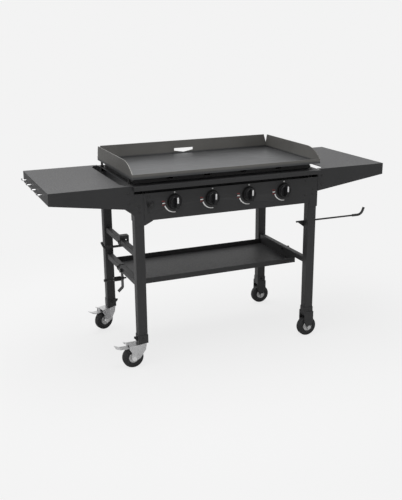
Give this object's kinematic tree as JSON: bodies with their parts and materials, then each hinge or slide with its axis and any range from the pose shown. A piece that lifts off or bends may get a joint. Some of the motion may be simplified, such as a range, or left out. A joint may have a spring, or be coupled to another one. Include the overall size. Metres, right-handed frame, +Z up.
{
  "type": "outdoor gas griddle station",
  "caption": "Flat-top gas griddle on a tube steel stand with casters, side shelves, bottom shelf, control knobs, tank hook and towel rod.",
  "frame": {"origin": "on the floor, below the middle of the whole object's box", "axes": "+X to the user's right along the front, +Y away from the user, +Z up"},
  "size_m": [1.625, 0.6504, 0.917],
  "materials": {
    "black_powder_coat": "satin powder coat",
    "griddle_steel": "dark seasoned rolled steel",
    "bright_zinc": "bright zinc plate",
    "pipe_steel": "plain steel",
    "burner_steel": "stainless",
    "cup_steel": "gloss enamel",
    "valve_aluminium": "cast",
    "plug_brass": "turned",
    "tyre": "matte",
    "hub_plastic": "moulded",
    "knob_plastic": "fine grain",
    "dial_plastic": "fine grain",
    "button_plastic": "smooth",
    "grip_vinyl": "satin",
    "lead_rubber": "matte",
    "ceramic": "glazed ceramic"
  },
  "bodies": {
    "frame": {"front_left_leg": "black_powder_coat", "rear_left_leg": "black_powder_coat", "front_right_leg": "black_powder_coat", "rear_right_leg": "black_powder_coat", "crossbars": "black_powder_coat", "leg_brackets": "black_powder_coat", "leg_sockets": "black_powder_coat", "burner_box": "black_powder_coat", "control_panel": "black_powder_coat", "knob_bezels": "dial_plastic", "gas_manifold": "pipe_steel", "valve_bodies": "valve_aluminium", "burners": "burner_steel", "igniter_housing": "dial_plastic", "ignition_leads": "lead_rubber", "ignition_electrodes": "ceramic", "left_side_shelf": "black_powder_coat", "right_side_shelf": "black_powder_coat", "tool_hooks": "bright_zinc", "bottom_shelf": "black_powder_coat", "towel_rod": "black_powder_coat", "towel_rod_tip": "grip_vinyl", "tank_hook": "black_powder_coat", "tank_screw_bracket": "black_powder_coat", "grease_cup_bracket": "black_powder_coat", "frame_bolts": "black_powder_coat", "fixed_caster_forks": "black_powder_coat"},
    "griddle": {"griddle_plate": "griddle_steel", "griddle_feet": "black_powder_coat"},
    "grease_cup": {"grease_cup": "cup_steel"},
    "igniter_button": {"igniter_button": "button_plastic"},
    "valve_plug_1": {"valve_plug_1": "plug_brass"},
    "knob_1": {"knob_1": "knob_plastic", "valve_stem_1": "pipe_steel"},
    "valve_plug_2": {"valve_plug_2": "plug_brass"},
    "knob_2": {"knob_2": "knob_plastic", "valve_stem_2": "pipe_steel"},
    "valve_plug_3": {"valve_plug_3": "plug_brass"},
    "knob_3": {"knob_3": "knob_plastic", "valve_stem_3": "pipe_steel"},
    "valve_plug_4": {"valve_plug_4": "plug_brass"},
    "knob_4": {"knob_4": "knob_plastic", "valve_stem_4": "pipe_steel"},
    "front_left_caster": {"front_left_fork": "bright_zinc", "front_left_axle": "bright_zinc"},
    "front_left_wheel": {"front_left_tyre": "tyre", "front_left_hub": "hub_plastic"},
    "front_left_brake": {"front_left_brake_pedal": "bright_zinc"},
    "front_right_wheel": {"front_right_tyre": "tyre", "front_right_hub": "hub_plastic"},
    "rear_left_caster": {"rear_left_fork": "bright_zinc", "rear_left_axle": "bright_zinc"},
    "rear_left_wheel": {"rear_left_tyre": "tyre", "rear_left_hub": "hub_plastic"},
    "rear_left_brake": {"rear_left_brake_pedal": "bright_zinc"},
    "rear_right_wheel": {"rear_right_tyre": "tyre", "rear_right_hub": "hub_plastic"},
    "tank_screw_pad": {"tank_screw_pad": "lead_rubber"},
    "tank_screw": {"tank_screw": "pipe_steel"}
  },
  "joints": [
    {"name": "griddle_lift", "type": "slide", "parent": "frame", "child": "griddle", "axis": [0, 0, 1], "range_m": [0, 0.15]},
    {"name": "grease_cup_pull", "type": "slide", "parent": "frame", "child": "grease_cup", "axis": [0, 1, 0], "range_m": [0, 0.08]},
    {"name": "igniter_push", "type": "slide", "parent": "frame", "child": "igniter_button", "axis": [0, 1, 0], "range_m": [0, 0.005], "stiffness_N_per_m": 800},
    {"name": "valve_turn_1", "type": "hinge", "parent": "frame", "child": "valve_plug_1", "pos_m": [-0.2515, -0.2653, 0.742], "axis": [0, -1, 0], "range_deg": [0, 180]},
    {"name": "knob_push_1", "type": "slide", "parent": "valve_plug_1", "child": "knob_1", "axis": [0, 1, 0], "range_m": [0, 0.0035], "stiffness_N_per_m": 1000},
    {"name": "valve_turn_2", "type": "hinge", "parent": "frame", "child": "valve_plug_2", "pos_m": [-0.0755, -0.2653, 0.742], "axis": [0, -1, 0], "range_deg": [0, 180]},
    {"name": "knob_push_2", "type": "slide", "parent": "valve_plug_2", "child": "knob_2", "axis": [0, 1, 0], "range_m": [0, 0.0035], "stiffness_N_per_m": 1000},
    {"name": "valve_turn_3", "type": "hinge", "parent": "frame", "child": "valve_plug_3", "pos_m": [0.1005, -0.2653, 0.742], "axis": [0, -1, 0], "range_deg": [0, 180]},
    {"name": "knob_push_3", "type": "slide", "parent": "valve_plug_3", "child": "knob_3", "axis": [0, 1, 0], "range_m": [0, 0.0035], "stiffness_N_per_m": 1000},
    {"name": "valve_turn_4", "type": "hinge", "parent": "frame", "child": "valve_plug_4", "pos_m": [0.2765, -0.2653, 0.742], "axis": [0, -1, 0], "range_deg": [0, 180]},
    {"name": "knob_push_4", "type": "slide", "parent": "valve_plug_4", "child": "knob_4", "axis": [0, 1, 0], "range_m": [0, 0.0035], "stiffness_N_per_m": 1000},
    {"name": "front_left_swivel", "type": "hinge", "parent": "frame", "child": "front_left_caster", "pos_m": [-0.4085, -0.2563, 0.1065], "axis": [0, 0, 1], "continuous": true},
    {"name": "front_left_wheel_spin", "type": "hinge", "parent": "front_left_caster", "child": "front_left_wheel", "pos_m": [-0.4545, -0.2563, 0.0475], "axis": [0, 1, 0], "continuous": true},
    {"name": "front_left_brake_press", "type": "hinge", "parent": "front_left_caster", "child": "front_left_brake", "pos_m": [-0.4625, -0.2563, 0.101], "axis": [0, -1, 0], "range_deg": [0, 8]},
    {"name": "front_right_wheel_spin", "type": "hinge", "parent": "frame", "child": "front_right_wheel", "pos_m": [0.4335, -0.2563, 0.0475], "axis": [0, 1, 0], "continuous": true},
    {"name": "rear_left_swivel", "type": "hinge", "parent": "frame", "child": "rear_left_caster", "pos_m": [-0.4085, 0.2387, 0.1065], "axis": [0, 0, 1], "continuous": true},
    {"name": "rear_left_wheel_spin", "type": "hinge", "parent": "rear_left_caster", "child": "rear_left_wheel", "pos_m": [-0.45173, 0.22297, 0.0475], "axis": [-0.342, 0.9397, 0], "continuous": true},
    {"name": "rear_left_brake_press", "type": "hinge", "parent": "rear_left_caster", "child": "rear_left_brake", "pos_m": [-0.45924, 0.22023, 0.101], "axis": [0.342, -0.9397, 0], "range_deg": [0, 8]},
    {"name": "rear_right_wheel_spin", "type": "hinge", "parent": "frame", "child": "rear_right_wheel", "pos_m": [0.4335, 0.2387, 0.0475], "axis": [0, 1, 0], "continuous": true},
    {"name": "tank_pad_slide", "type": "slide", "parent": "frame", "child": "tank_screw_pad", "axis": [-1, 0, 0], "range_m": [0, 0.01188]},
    {"name": "tank_screw_turn", "type": "hinge", "parent": "tank_screw_pad", "child": "tank_screw", "pos_m": [-0.4055, 0.0312, 0.32], "axis": [-1, 0, 0], "range_deg": [0, 3420]}
  ],
  "couplings": [
    {"joint": "tank_screw_turn", "follows": "tank_pad_slide", "rad_per_m": 5026.5}
  ]
}
